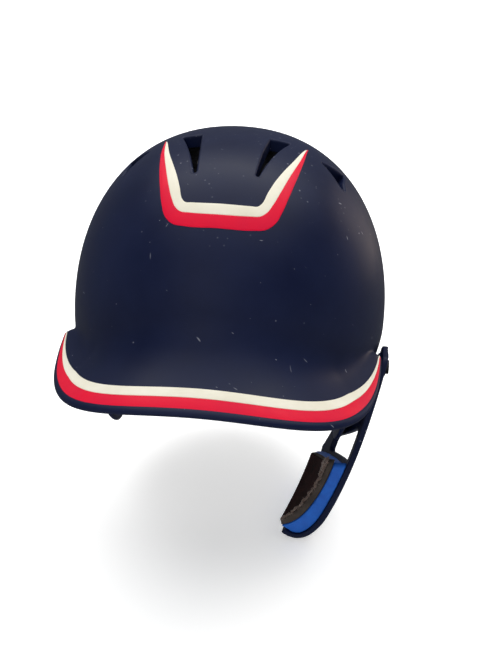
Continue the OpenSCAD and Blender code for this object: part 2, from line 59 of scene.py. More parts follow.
# ---- The shell's sizes, in millimetres ----
HALF_WIDTH, CROWN, FRONT, BACK, WALL = 104.0, 120.0, 122.0, 128.0, 3.0
BRIM_REACH, BRIM_ROOT, BRIM_SLOPE = 40.0, 42.0, 27.0
SIDE_FULL, CROWN_FULL = 0.84, 0.94
BRIM_END = np.array([HALF_WIDTH - 3, 65 - FRONT, -6.0])
BRIM_NOSE = np.array([0, -FRONT - BRIM_REACH, 2.0])
FLAP_TIP = np.array([HALF_WIDTH - 24, 6, -96.0])
NAPE = np.array([0, BACK - 4, -52.0])
GAP = 0.3
LINER_OUT = -WALL - GAP
LINER_IN = LINER_OUT - 12
PAD_OUT = LINER_IN - GAP
PAD_IN = PAD_OUT - 6
EAR_IN = LINER_OUT - 13
EAR_HOLE = (22.0, -50.0, 15.0)
STUD = (46.0, -58.0)
# Millimetres along the brim for a step of one in level
BRIM_SPAN = 62.0
SEATS = [(2.0, -80.0), (-34.0, -20.0), (-20.0, -52.0)]
HOLE = 2.6


def smooth(t):
    """Goes from 0 to 1 with level ends."""
    c = np.clip(t, 0, 1)
    return c * c * (3 - 2 * c)


def unit(v):
    return v / np.maximum(np.linalg.norm(v, axis=-1, keepdims=True), 1e-12)


def bezier(a, b, c, d, t):
    t = np.asarray(t)[..., None]
    return (1 - t) ** 3 * a + 3 * (1 - t) ** 2 * t * b + 3 * (1 - t) * t * t * c + t**3 * d


def stack(x, y, z):
    return np.stack(np.broadcast_arrays(x, y, z), -1)


def rim(a):
    """The shell's rim: three cubic curves in a row, along the brim, down the flap's front and back to the
    nape."""
    end_handle = np.array([0, -80.0, -22.0])
    one = bezier(BRIM_NOSE, BRIM_NOSE + [62, 0, 0], BRIM_END + end_handle, BRIM_END, a / 60)
    two = bezier(BRIM_END, BRIM_END - unit(end_handle) * 26, FLAP_TIP + [0, -40, 0], FLAP_TIP,
                 (a - 60) / 40)
    three = bezier(FLAP_TIP, FLAP_TIP + [0, 30, 0], NAPE + [60, 0, 0], NAPE, (a - 100) / 80)
    return np.where((a <= 60)[..., None], one, np.where((a <= 100)[..., None], two, three))


def dome_point(a, angle):
    """A point of the dome: an ellipsoid whose side and crown profiles are raised to a power below 1, so
    that both bulge."""
    r = np.radians(a)
    s = np.sin(angle) ** SIDE_FULL
    length = np.where(a < 90, FRONT, BACK)
    return stack(HALF_WIDTH * np.sin(r) * s, -length * np.cos(r) * s, CROWN
                 * np.abs(np.cos(angle)) ** CROWN_FULL)


def root_height(a):
    return BRIM_ROOT * (1 - smooth(a / 75))


def dome_end(a):
    return np.arccos((root_height(a) / CROWN) ** (1 / CROWN_FULL))


def skirt_point(a, w):
    """A point of the skirt: a cubic curve that leaves the dome along its own slope and arrives at the rim
    along the brim's."""
    end = dome_end(a)
    top = dome_point(a, end)
    down = unit(top - dome_point(a, end - np.radians(0.6)))
    low = rim(a)
    k = 1 - smooth((a - 50) / 30)
    slope = np.radians(BRIM_SLOPE + 11 * smooth(a / 60))
    r = np.radians(a)
    flare = unit(stack(np.sin(r) / HALF_WIDTH, -np.cos(r) / np.where(a < 90, FRONT, BACK), 0))
    lip = unit(stack(flare[..., 0] * (np.cos(slope) * k - 0.12 * (1 - k)), flare[..., 1] * np.cos(slope)
                     * k,
                     -(np.sin(slope) * k + 1 - k)))
    reach = np.abs(low[..., 2]) * (1 - k) / 3
    chord = np.linalg.norm(low - top, axis=-1) / 2
    top_handle = np.minimum((18 + root_height(a) / 4) * k + reach, chord)[..., None]
    low_handle = np.minimum(23 * k + reach, chord)[..., None]
    return bezier(top, top + down * top_handle, low - lip * low_handle, low, w)


def mirrored(face, b, v):
    b, v = np.broadcast_arrays(np.asarray(b, float), np.asarray(v, float))
    b = (b + 180) % 360 - 180
    p = face(np.abs(b), v)
    return p * np.where(b < 0, -1, 1)[..., None] ** np.array([1, 0, 0])


def shell_half(a, v):
    return np.where((v <= 1)[..., None], dome_point(a, np.clip(v, 0, 1) * dome_end(a)),
                    skirt_point(a, np.maximum(v, 1) - 1))


def lined_half(a, v):
    """The face that the liner follows: the dome, then straight down, and behind the ears the skirt."""
    down = dome_point(a, np.pi / 2) - stack(0, 0, 60 * (v - 1))
    share = smooth((a - 66) / 10)[..., None]
    low = down * (1 - share) + skirt_point(a, np.maximum(v, 1) - 1) * share
    return np.where((v <= 1)[..., None], dome_point(a, np.clip(v, 0, 1) * np.pi / 2), low)


def shell_face(b, v):
    return mirrored(shell_half, b, v)


def lined_face(b, v):
    return mirrored(lined_half, b, v)


def lay(face, b, v, d):
    """Points at a distance d outside a face, along the normal taken from two short steps on it."""
    b, v, d = np.broadcast_arrays(np.asarray(b, float), np.asarray(v, float), np.asarray(d, float))
    v = np.maximum(v, 0.0)
    n = unit(np.cross(face(b, v + 0.01) - face(b, np.maximum(v - 0.01, 0.001)), face(b + 0.5, v)
                      - face(b - 0.5, v)))
    flat = (1 - smooth(v / 0.03))[..., None]
    n = unit(n * (1 - flat) + np.array([0, 0, 1.0]) * flat)
    return face(b, v) + n * d[..., None]


# ---- Meshes ----
def bake(obj):
    """Turns an object's modifiers into plain vertices."""
    graph = bpy.context.evaluated_depsgraph_get()
    mesh = bpy.data.meshes.new_from_object(obj.evaluated_get(graph))
    old = obj.data
    obj.modifiers.clear()
    obj.data = mesh
    bpy.data.meshes.remove(old)


def shade(obj, angle):
    """Smooth shading, with edges sharper than the angle kept sharp."""
    obj.data.polygons.foreach_set("use_smooth", [True] * len(obj.data.polygons))
    obj.data.set_sharp_from_angle(angle=math.radians(angle))


def mesh_object(name, points, faces, angle=38):
    """A closed mesh from points in millimetres and lists of corners, its normals turned outwards."""
    mesh = bpy.data.meshes.new(name)
    mesh.from_pydata((np.asarray(points) / 1000).tolist(), [], [list(map(int, f)) for f in faces])
    bm = bmesh.new()
    bm.from_mesh(mesh)
    bmesh.ops.remove_doubles(bm, verts=bm.verts, dist=1e-6)
    bmesh.ops.recalc_face_normals(bm, faces=bm.faces)
    bm.to_mesh(mesh)
    bm.free()
    obj = bpy.data.objects.new(name, mesh)
    bpy.context.scene.collection.objects.link(obj)
    shade(obj, angle)
    return obj


def quads(rows, cols, start=0, wrap=False):
    """Corner numbers of a grid's quads, closed across the columns if wrap is true."""
    i, j = np.meshgrid(np.arange(rows - 1), np.arange(cols if wrap else cols - 1), indexing="ij")
    k = (j + 1) % cols
    return (start + np.stack([i * cols + j, i * cols + k, (i + 1) * cols + k, (i + 1) * cols + j],
                             -1)).reshape(-1, 4)


def slab(name, outer, inner, angle=38):
    """A closed solid between two grids of points of the same size."""
    rows, cols = outer.shape[:2]
    n = rows * cols
    edge = np.concatenate([np.arange(cols), np.arange(1, rows) * cols + cols - 1,
                           (rows - 1) * cols + np.arange(cols - 2, -1, -1), np.arange(rows - 2, 0,
                                   -1) * cols])
    nxt = np.roll(edge, -1)
    sides = np.stack([edge, nxt, nxt + n, edge + n], -1)
    faces = np.concatenate([quads(rows, cols), quads(rows, cols, n)[:, ::-1], sides])
    return mesh_object(name, np.concatenate([outer.reshape(-1, 3), inner.reshape(-1, 3)]), faces, angle)


def bowl(name, rows, outer_pole, inner_pole, angle):
    """A closed bowl: rings of points from one pole out to the rim and back inside to the other pole."""
    count = rows.shape[1]
    n = rows.shape[0] * count
    pts = np.concatenate([rows.reshape(-1, 3), [[0, 0, outer_pole], [0, 0, inner_pole]]])
    j = np.arange(count)
    k = (j + 1) % count
    faces = [*quads(rows.shape[0], count, wrap=True).tolist(),
             *np.stack([k, j, np.full(count, n)], -1).tolist(),
             *np.stack([n - count + j, n - count + k, np.full(count, n + 1)], -1).tolist()]
    return mesh_object(name, pts, faces, angle)


def join(objects):
    """One object from several, named after the first."""
    bm = bmesh.new()
    for o in objects:
        bm.from_mesh(o.data)
    first = objects[0]
    bm.to_mesh(first.data)
    bm.free()
    for o in objects[1:]:
        discard(o)
    return first


def discard(obj):
    mesh = obj.data
    bpy.data.objects.remove(obj)
    bpy.data.meshes.remove(mesh)


def combine(obj, tools, operation="DIFFERENCE"):
    """Cuts a set of tools from a solid, or joins them to it, and removes the tools."""
    tool = join(tools)
    mod = obj.modifiers.new("tool", "BOOLEAN")
    mod.operation = operation
    mod.solver = "EXACT"
    mod.object = tool
    bake(obj)
    discard(tool)


def prism(outline, low, high, turn=None, name="tool"):
    """A closed prism over an outline in plan, from one height to another, turned by a matrix."""
    n = len(outline)
    outline = np.asarray(outline, float)
    pts = np.concatenate([np.c_[outline, np.full(n, low)], np.c_[outline, np.full(n, high)]])
    if turn is not None:
        pts = pts @ np.asarray(turn).T
    i = np.arange(n)
    k = (i + 1) % n
    faces = [list(i[::-1]), list(i + n)] + np.stack([i, k, k + n, i + n], -1).tolist()
    return mesh_object(name, pts, faces)


SIDEWAYS = np.array([[0, 0, 1.0], [1, 0, 0], [0, 1, 0]])


def side_drum(y, z, radius, x0, x1, steps=48):
    """A cylinder along X."""
    a = np.arange(steps) * 2 * np.pi / steps
    return prism(np.c_[y + radius * np.cos(a), z + radius * np.sin(a)], x0, x1, SIDEWAYS)


def soften(obj, voxel, passes):
    """Rebuilds a solid's skin as even small faces and smooths it, which rounds its edges as moulding
    does."""
    mod = obj.modifiers.new("skin", "REMESH")
    mod.mode = "VOXEL"
    mod.voxel_size = voxel / 1000
    mod = obj.modifiers.new("round", "SMOOTH")
    mod.iterations = passes
    mod.factor = 0.5
    bake(obj)
    shade(obj, 60)


# ---- Outlines ----
def rounded(corners, radius, steps=8):
    """A closed outline whose corners are arcs; radius is one number or one for each corner."""
    pts = np.asarray(corners, float)
    radii = np.broadcast_to(radius, len(pts))
    out = []
    for i, p in enumerate(pts):
        a, b = unit(pts[i - 1] - p), unit(pts[(i + 1) % len(pts)] - p)
        half = math.acos(np.clip(a @ b, -1, 1)) / 2
        mid = p + unit(a + b) * radii[i] / math.sin(half)
        t0, t1 = p + a * radii[i] / math.tan(half) - mid, p + b * radii[i] / math.tan(half) - mid
        a0, a1 = math.atan2(t0[1], t0[0]), math.atan2(t1[1], t1[0])
        sweep = (a1 - a0 + 3 * math.pi) % (2 * math.pi) - math.pi
        out += [mid + radii[i]
                * np.array([math.cos(a0 + sweep * k / steps), math.sin(a0 + sweep * k / steps)])
                for k in range(steps + 1)]
    return np.array(out)


def resampled(line, gap, closed=True):
    """Points at even distances along a line."""
    line = np.asarray(line, float)
    if closed:
        line = np.concatenate([line, line[:1]])
    s = np.r_[0, np.cumsum(np.linalg.norm(np.diff(line, axis=0), axis=1))]
    n = max(4, int(round(s[-1] / gap)))
    t = np.linspace(0, s[-1], n + 1)
    out = np.stack([np.interp(t, s, line[:, i]) for i in range(line.shape[1])], -1)
    return out[:-1] if closed else out


def dome_height(x, y):
    rho = np.hypot(x / HALF_WIDTH, y / np.where(y < 0, FRONT, BACK))
    return CROWN * np.maximum(0, 1 - np.minimum(rho, 1) ** (2 / SIDE_FULL)) ** (CROWN_FULL / 2)


def dome_normal(x, y):
    h = 0.5
    gx = (dome_height(x + h, y) - dome_height(x - h, y)) / (2 * h)
    gy = (dome_height(x, y + h) - dome_height(x, y - h)) / (2 * h)
    return unit(stack(-gx, -gy, 1.0))


# ---- Vents ----
TILT = math.radians(38)
TOP_VENT = [(34.4, -4), (22, -6.5), (19.6, -32), (17.8, -59), (19.2, -59), (25, -37)]
SIDE_VENT = [(55, -10), (70, 3), (69.5, -12), (70.5, -22), (68, -22.5)]
REAR_VENT = [(22, 56), (36, 50), (34, 72), (27, 92), (25, 92)]
VENTS = [(TOP_VENT, 0.0), (SIDE_VENT, TILT), (REAR_VENT, 0.0)]
VENT_ROUND = 0.55


def vent_outline(corners, tilt):
    """A vent's rounded outline seen along its cutting axis."""
    c = np.array(corners, float)
    lean = np.c_[c[:, 0] * math.cos(tilt) - dome_height(c[:, 0], c[:, 1]) * math.sin(tilt), c[:, 1]]
    return resampled(rounded(lean, VENT_ROUND, 5), 0.6)


def offset(line, distance):
    """A closed outline moved outwards by a distance along its own normals."""
    t = unit(np.roll(line, -1, 0) - np.roll(line, 1, 0))
    area = np.sum(line[:, 0] * np.roll(line[:, 1], -1) - line[:, 1] * np.roll(line[:, 0], -1))
    return line + np.c_[t[:, 1], -t[:, 0]] * np.reshape(distance, (-1, 1)) * np.sign(area)


def onto_dome(line, tilt):
    """Where rays along the cutting axis through an outline meet the dome, found by halving."""
    lo, hi = np.full(len(line), 0.0), np.full(len(line), 103.0)
    for _ in range(40):
        mid = (lo + hi) / 2
        left = mid * math.cos(tilt) - dome_height(mid, line[:, 1]) * math.sin(tilt) < line[:, 0]
        lo, hi = np.where(left, mid, lo), np.where(left, hi, mid)
    return stack(lo, line[:, 1], dome_height(lo, line[:, 1]))


def vent_cutters(growth):
    tools = []
    for corners, tilt in VENTS:
        line = offset(vent_outline(corners, tilt), growth)
        turn = np.array([[math.cos(tilt), 0, math.sin(tilt)], [0, 1, 0],
                         [-math.sin(tilt), 0, math.cos(tilt)]])
        for side in (1, -1):
            tools.append(prism(line, 0, 190, np.diag([side, 1, 1]) @ turn))
    return tools


LIP = 1.5


def vent_lips():
    """The rolled edge and deep wall of each vent: a profile of a quarter circle and a straight wall,
    carried round the outline."""
    parts = []
    for corners, tilt in VENTS:
        line = vent_outline(corners, tilt)
        axis = np.array([math.sin(tilt), 0, math.cos(tilt)])
        turns = np.radians(np.linspace(0, 90, 7))
        rows = [(LIP + 0.7, -0.25), (LIP + 0.35, 0.03)]
        rows += [(LIP * (1 - math.sin(t)), LIP * (math.cos(t) - 1) + 0.03) for t in turns]
        top = [onto_dome(offset(line, out), tilt) for out, _ in rows]
        skin = [p + dome_normal(p[:, 0], p[:, 1]) * up for p, (_, up) in zip(top, rows)]
        base = skin[-1]
        middle = base.mean(0)
        for depth, inwards in ((2.0, 0.1), (4.0, 0.2), (6.0, 0.3), (6.3, -0.5), (5.6, -1.2)):
            pull = unit(middle - base) * inwards
            skin.append(base - axis * depth + pull)
        grid = np.array(skin)
        closed = np.concatenate([grid, grid[:1]])
        for side in (1, -1):
            pts = closed.reshape(-1, 3) * [side, 1, 1]
            parts.append(mesh_object("vent_lips", pts, quads(len(closed), len(line), wrap=True), 50))
    return join(parts)


# ---- Shell ----
def rim_roll(b):
    """Outside-to-inside points round the rim, as distances up the skirt and out from it: a half circle,
    with a fuller rolled bead along the brim."""
    k = 1 - smooth((abs(b) - 62) / 22)
    return [(8.5, 0), (5.2, 0.02), (4.3, 0.2 * k), (3.7, 0.4 * k), (3.1, 0.54 * k), (2.4, 0.56 * k),
            (1.7, 0.46 * k),
           (1.1, 0.25 * k - 0.06), (0.55, -0.12), (0.15, -0.7), (0.0, -1.45), (0.15, -2.2), (0.6, -2.85),
           (1.4, -3.1 - 0.15 * k), (2.6, -3.1 - 0.3 * k), (4.4, -3.05 - 0.2 * k), (6.5, -3.0), (8.5, -3.0)]


def outer_shell():
    """The shell: rows down the dome and the skirt on the outside, round the rim, and back up the inside."""
    count = 320
    b = -180 + 360 * np.arange(count) / count
    drop = np.linalg.norm(shell_face(b, 2.0) - shell_face(b, 1.98), axis=-1) / 0.02
    share = 1 - smooth((np.abs(b) - 55) / 25)
    rate = BRIM_SPAN * share + drop * (1 - share)
    last = 2 - 8.5 / rate
    rows_out = []
    dome = np.linspace(0.012, 1, 74)
    for v in dome:
        rows_out.append(lay(shell_face, b, np.full(count, v), 0.0))
    for w in np.linspace(0, 1, 46)[1:-1]:
        rows_out.append(lay(shell_face, b, 1 + (last - 1) * w, 0.0))
    roll = [lay(shell_face, b, 2 - u / rate, d) for u, d in rim_roll(b)]
    rows_in = []
    for w in np.linspace(1, 0, 26)[1:]:
        rows_in.append(lay(shell_face, b, 1 + (last - 1) * w, -WALL))
    for v in dome[::-1][2::2]:
        rows_in.append(lay(shell_face, b, np.full(count, v), -WALL))
    obj = bowl("helmet_shell", np.array(rows_out + roll + rows_in), CROWN, CROWN - WALL, 40)
    y, z, r = EAR_HOLE
    tools = vent_cutters(LIP)
    for side in (1, -1):
        x0, x1 = sorted((side * 70, side * 115))
        tools.append(side_drum(y, z, r + 0.9, x0, x1, 96))
    combine(obj, tools)
    shade(obj, 40)
    return obj


def side_levels(y, z, side=1):
    """Bearing and level of the shell's outer face at a y and z, found by Newton steps with small
    differences."""
    y, z = np.broadcast_arrays(np.asarray(y, float), np.asarray(z, float))
    b, v = 90 + y * 0.5, np.full(y.shape, 1.4)
    for _ in range(30):
        p = shell_face(b, v)
        pb, pv = (shell_face(b + 0.1, v) - p) / 0.1, (shell_face(b, v + 0.001) - p) / 0.001
        ey, ez = y - p[..., 1], z - p[..., 2]
        det = pb[..., 1] * pv[..., 2] - pb[..., 2] * pv[..., 1]
        b = np.clip(b + 0.7 * (ey * pv[..., 2] - ez * pv[..., 1]) / det, 40, 170)
        v = np.clip(v + 0.7 * (ez * pb[..., 1] - ey * pb[..., 2]) / det, 0.6, 2.0)
    return b, v


def ear_ring(side):
    """The rolled edge of an ear hole: a half circle through the wall, carried round the hole."""
    y0, z0, r = EAR_HOLE
    a = np.arange(96) * 2 * np.pi / 96
    rows = []
    for out, d in [(2.2, -0.25), (1.7, 0.04)] + [(1.5 * (1 - math.sin(t)), 1.5 * math.cos(t) - 1.5 + 0.04)
                                                 for t in
                                               np.radians(np.linspace(0, 180, 13))] + [(1.7, -3.0),
                                                       (2.2, -2.7)]:
        b, v = side_levels(y0 + (r + out) * np.cos(a), z0 + (r + out) * np.sin(a))
        rows.append(lay(shell_face, b, v, d))
    rows.append(rows[0])
    return mesh_object("ear_hole_rings", np.array(rows).reshape(-1, 3) * [side, 1, 1],
                       quads(len(rows), 96, wrap=True), 50)


# ---- Stripes and decals ----
STRIPE_END, BEAD, RED_TOP, WHITE_TOP = 66.0, 3.8, 11.3, 18.0


def brim_stripe(name, low, high):
    """A vinyl stripe between two distances up from the rim, narrowing to both ends, its edges turned down
    onto the shell."""
    b = STRIPE_END * np.sin(np.linspace(-1, 1, 361) * np.pi / 2)
    taper = np.maximum(0.03, 1 - (np.maximum(0, np.abs(b) - 38) / (STRIPE_END - 38)) ** 2.2)
    across = np.array([0, 0.02, 0.06, 0.5, 0.94, 0.98, 1])
    up = low + (high - low) * across[:, None]
    v = 2 - (BEAD + (up - BEAD) * taper) / BRIM_SPAN
    top = lay(shell_face, b, v, np.array([0.16, 0.3, 0.36, 0.38, 0.36, 0.3, 0.16])[:, None])
    return slab(name, top, lay(shell_face, b, v, 0.08), 50)


DECAL = [
    [(0, -93), (19, -91), (27, -88), (32, -83), (35, -76), (38, -65), (41.3, -49), (43.8, -31), (45.8, -2)],
    [(0, -87), (17, -85.2), (23, -83.4), (26.5, -80.2), (29.3, -74.9), (33, -64.8), (37.1, -50.2),
     (41.5, -31), (45, -4)],
    [(0, -81.5), (17, -80), (21, -79), (22.5, -77.5), (25.7, -69), (28.6, -60.5), (32, -51), (37.5, -34.5),
     (44, -6)],
]


def flowing(points, n):
    """A smooth line through points: each span a cubic whose end slopes come from its neighbours."""
    p = np.asarray(points, float)
    d = np.r_[0, np.cumsum(np.linalg.norm(np.diff(p, axis=0), axis=1))]
    m = np.gradient(p, d, axis=0)
    m[0, 1] = 0
    s = np.linspace(0, d[-1], n)
    i = np.clip(np.searchsorted(d, s, side="right") - 1, 0, len(p) - 2)
    h = (d[i + 1] - d[i])[:, None]
    t = ((s - d[i]) / h[:, 0])[:, None]
    return ((1 + 2 * t) * (1 - t) ** 2 * p[i] + t * (1 - t) ** 2 * h * m[i] + t * t * (3 - 2 * t) * p[i + 1]
            + t * t * (t - 1) * h * m[i + 1])


def crown_decal(name, outer, inner):
    """A vinyl band over the front of the dome between two lines in plan."""
    half = [flowing(line, 90) for line in (inner, outer)]
    full = [np.concatenate([h[:0:-1] * [-1, 1], h]) for h in half]
    across = np.array([0, 0.03, 0.1, 0.5, 0.9, 0.97, 1])[:, None, None]
    p = full[0] + (full[1] - full[0]) * across
    x, y = p[..., 0], p[..., 1]
    at, n = stack(x, y, dome_height(x, y)), dome_normal(x, y)
    high = np.array([0.1, 0.25, 0.32, 0.34, 0.32, 0.25, 0.1])[:, None, None]
    return slab(name, at + n * high, at + n * 0.04, 50)


# ---- Pads ----
def cushion(name, face, b0, b1, v0, v1, outer, inner, edge, puff=0.0, corner=0.12, cols=72, rows=40):
    """A pad on a face: both skins fall away from their borders on a quarter circle, the corners are drawn
    in as a square bent to a rounder shape, and the inner skin swells by a product of parabolas."""
    s = np.linspace(-1, 1, cols + 1)
    t = np.linspace(-1, 1, rows + 1)
    s, t = [0.45 * q + 0.55 * np.sin(q * np.pi / 2) for q in (s, t)]
    t, s = np.meshgrid(t, s, indexing="ij")
    us, ts = s * np.sqrt(1 - corner * t * t), t * np.sqrt(1 - corner * s * s)
    b = (b0 + b1) / 2 + (b1 - b0) / 2 * us
    v = (v0 + v1) / 2 + (v1 - v0) / 2 * ts
    mid = face(b, v)
    width = np.linalg.norm(np.diff(mid[rows // 2], axis=0), axis=1).sum()
    height = np.linalg.norm(np.diff(mid[:, cols // 2], axis=0), axis=1).sum()
    ex, ey = (1 - np.abs(s)) * width / 2, (1 - np.abs(t)) * height / 2
    q = edge - np.hypot(np.maximum(edge - ex, 0), np.maximum(edge - ey, 0))
    q = np.clip(q, 0, edge)
    fall = edge - np.sqrt(edge**2 - (edge - q) ** 2)
    swell = puff * (1 - s**4) * (1 - t**4)
    top, low = lay(face, b, v, outer - fall * 0.9), lay(face, b, v, inner + fall - swell)
    return slab(name, top, low, 60)


def crown_liner():
    """The liner's crown block: rows from the pole to its lower edge, rounded there, with the vents cut
    through."""
    count = 160
    b = -180 + 360 * np.arange(count) / count
    top = [(v, LINER_OUT) for v in np.linspace(0.01, 0.425, 30)]
    turn = [(0.44 - 0.015 * (1 - math.sin(a)), LINER_OUT - 2 * (1 - math.cos(a)))
            for a in np.radians([30, 60, 90])]
    low = [(0.44, LINER_IN + 2), (0.437, LINER_IN + 1), (0.425, LINER_IN)]
    under = [(v, LINER_IN) for v in np.linspace(0.41, 0.01, 24)]
    rows = np.array([lay(lined_face, b, np.full(count, v), d) for v, d in top + turn + low + under])
    obj = bowl("liner_crown_block", rows, CROWN + LINER_OUT, CROWN + LINER_IN, 40)
    combine(obj, vent_cutters(1.6))
    shade(obj, 40)
    return obj


def crown_cushion():
    """The round pad under the crown: rows from the pole outwards and back, its border on a half circle."""
    count = 96
    b = -180 + 360 * np.arange(count) / count
    mid, half = (PAD_OUT + PAD_IN) / 2, (PAD_OUT - PAD_IN) / 2
    turn = np.radians(np.linspace(0, 180, 13))
    puff = 0.8
    rows = [(v, PAD_OUT) for v in np.linspace(0.01, 0.12, 8)]
    rows += [(0.12 + 0.02 * math.sin(a), mid + half * math.cos(a)) for a in turn]
    rows += [(v, PAD_IN - puff * (1 - (v / 0.12) ** 2)) for v in np.linspace(0.112, 0.01, 9)]
    grid = np.array([lay(lined_face, b, np.full(count, v), d) for v, d in rows])
    return bowl("crown_cushion", grid, CROWN + PAD_OUT, CROWN + PAD_IN - puff, 60)


def ear_cushion(name, side):
    """An ear pad: a pad on the flap's inner face with a hole for the ear and pockets over the fixings, its
    edges rounded by rebuilding the skin."""
    lo, hi = (86, 124) if side > 0 else (-124, -86)
    obj = cushion(name, shell_face, lo, hi, 1.16, 1.93, LINER_OUT - 0.3, EAR_IN, 3.5, 0.0, 0.14, 60, 44)
    y, z, r = EAR_HOLE
    x0, x1 = sorted((side * 45, side * 110))
    tools = [side_drum(y, z, r + 3, x0, x1, 72)]
    combine(obj, tools)
    for p, radius, deep in [(STUD, 6.7, 4.2)] + ([(SEATS[0], 7.7, 4.6), (SEATS[2], 7.7, 4.6)]
                                                 if side > 0 else []):
        b, v = side_levels(np.array(p[0]), np.array(p[1]))
        x = float(shell_face(b, v)[0])
        x0, x1 = sorted((side * (x - WALL - deep - 1.5), side * 112))
        combine(obj, [side_drum(p[0], p[1], radius, x0, x1)])
    soften(obj, 1.15, 5)
    return obj


# ---- Jaw guard ----
BOW, BOW_Y, GUARD_WALL, STANDOFF = 300.0, -25.0, 4.0, 1.6
TOP_X = HALF_WIDTH - 0.7 + STANDOFF + GUARD_WALL - 1.6
LOW_Z = -136.0
SECTION_A = np.array([(TOP_X, -8), (TOP_X - 5, -43), (TOP_X - 14.5, -84), (TOP_X - 26.5, LOW_Z + 24)])
SECTION_B = np.array([(TOP_X - 26.5, LOW_Z + 24), (TOP_X - 32.5, LOW_Z + 10), (TOP_X - 43.5, LOW_Z - 11),
                      (TOP_X - 57.5, LOW_Z + 4)])
SECTION = [SECTION_A, SECTION_B]
FOAM_FACE = np.array([(TOP_X - 25.6, -68), (TOP_X - 28, -92), (TOP_X - 42.8, LOW_Z + 13),
                      (TOP_X - 58, LOW_Z + 9)])
PAD_FACE = np.array([(TOP_X - 29, -64), (TOP_X - 31.5, -90), (TOP_X - 44.5, LOW_Z + 22),
                     (TOP_X - 60.5, LOW_Z + 13)])
GUARD_OUTLINE = [(-47, -8.5, 5), (-23, -8.5, 5), (-21, -36, 12), (-4, -62, 14), (22, -74, 10),
                 (24, LOW_Z + 12, 9),
                 (-34, LOW_Z - 6, 6), (-64, LOW_Z - 6, 10), (-71, LOW_Z + 18, 20), (-64, -76, 60), (-53,
                         -38, 60)]
GUARD_WINDOW = [(-43, -62, 4), (-27, -72, 5), (12, -100, 4), (8, -110, 4), (-52, -84, 5)]
FOAM_OUTLINE = [(-63.5, -75.5, 3), (-52, -86, 6), (12, -113.5, 4), (15, LOW_Z + 11, 5), (-36, LOW_Z - 5, 6),
                (-62.5, LOW_Z - 5, 8), (-69.5, LOW_Z + 18, 20)]
PAD_OUTLINE = [(-62.5, -73.5, 3), (-51, -85.5, 6), (10, -112.5, 4), (12, LOW_Z + 11, 5),
               (-36, LOW_Z - 3, 6),
               (-62, LOW_Z - 3, 8), (-69, LOW_Z + 18, 20)]


def curve_line(pieces, depth, n):
    """Points along curves end to end, moved towards the wearer's face by a depth."""
    t = np.linspace(0, 1, n)
    line = np.concatenate([bezier(*c, t)[(0 if i == 0 else 1):] for i, c in enumerate(pieces)])
    d = unit(np.gradient(line, axis=0))
    return line - np.c_[-d[:, 1], d[:, 0]] * depth


def guard_band(outer, inner, steps=60):
    """A closed section in x and z carried round a wide arc in plan."""
    ring = np.concatenate([outer, inner[::-1]])
    a = np.radians(np.linspace(-13, 13, steps))[:, None]
    r = ring[:, 0] - TOP_X + BOW
    pts = stack(TOP_X - BOW + r * np.cos(a), BOW_Y + r * np.sin(a), ring[:, 1])
    n = len(ring)
    faces = [*quads(steps, n, wrap=True).tolist(), list(range(n)),
             list(range(n * steps - 1, n * (steps - 1) - 1, -1))]
    return mesh_object("band", pts.reshape(-1, 3), faces)


def outline_prism(corners, x0=-10, x1=150):
    pts = np.array([c[:2] for c in corners], float)
    return prism(rounded(pts, np.array([c[2] for c in corners], float), 10), x0, x1, SIDEWAYS)


def jaw_line(y):
    """x, at a y, of the line in plan that the guard's inner side keeps outside of."""
    return 46 + 0.28 * (y + 65)


def jaw_room():
    """Everything inside a line in plan that runs outwards to the rear, as a jaw does."""
    y = np.array([-90.0, 60.0])
    x = jaw_line(y)
    return prism([(0, y[0]), (x[0], y[0]), (x[1], y[1]), (0, y[1])], LOW_Z - 30, LOW_Z + 60)


def plate_x(y, z):
    """x of the plate's outer face at a y and z."""
    line = curve_line([SECTION_A], 0, 60)[::-1]
    r = np.interp(z, line[:, 1], line[:, 0]) - TOP_X + BOW
    return TOP_X - BOW + math.sqrt(r * r - (y - BOW_Y) ** 2)


def jaw_plate():
    """The guard's moulded plate: the band cut to its side outline, with its window, screw bosses, bore and
    arc slots, and all edges rounded."""
    obj = guard_band(curve_line(SECTION, 0, 60), curve_line(SECTION, GUARD_WALL, 60))
    obj.name = "jaw_guard_shell"
    combine(obj, [outline_prism(GUARD_OUTLINE)], "INTERSECT")
    combine(obj, [outline_prism(GUARD_WINDOW), jaw_room()])
    levels = [(y, z, plate_x(y, z) - GUARD_WALL - 0.8, plate_x(y, z) - 0.26) for y, z in SEATS]
    combine(obj, [side_drum(y, z, 11.2, high - 0.2, high + 8) for y, z, low, high in levels])
    combine(obj, [side_drum(y, z, 9.8, low - 8, low + 0.25) for y, z, low, high in levels])
    combine(obj, [side_drum(y, z, 8.8, low, high) for y, z, low, high in levels], "UNION")
    tools = []
    for i, (y, z, low, high) in enumerate(levels):
        if i == 0:
            tools.append(side_drum(y, z, HOLE, low - 5, high + 5))
            continue
        arm = np.array([y, z]) - SEATS[0]
        reach, at = math.hypot(*arm), math.atan2(arm[1], arm[0])
        half = math.radians(3.6) + math.atan(HOLE / reach)
        a = at + np.linspace(-half, half, 24)
        c = np.c_[np.cos(a), np.sin(a)]
        line = np.array(SEATS[0]) + np.concatenate([c * (reach + HOLE), c[::-1] * (reach - HOLE)])
        tools.append(prism(line, low - 5, high + 5, SIDEWAYS))
    combine(obj, tools)
    soften(obj, 0.62, 5)
    return obj


def guard_layer(name, outer, inner, outline, voxel, passes):
    obj = guard_band(outer, inner)
    obj.name = name
    combine(obj, [outline_prism(outline)], "INTERSECT")
    combine(obj, [jaw_room()])
    soften(obj, voxel, passes)
    return obj


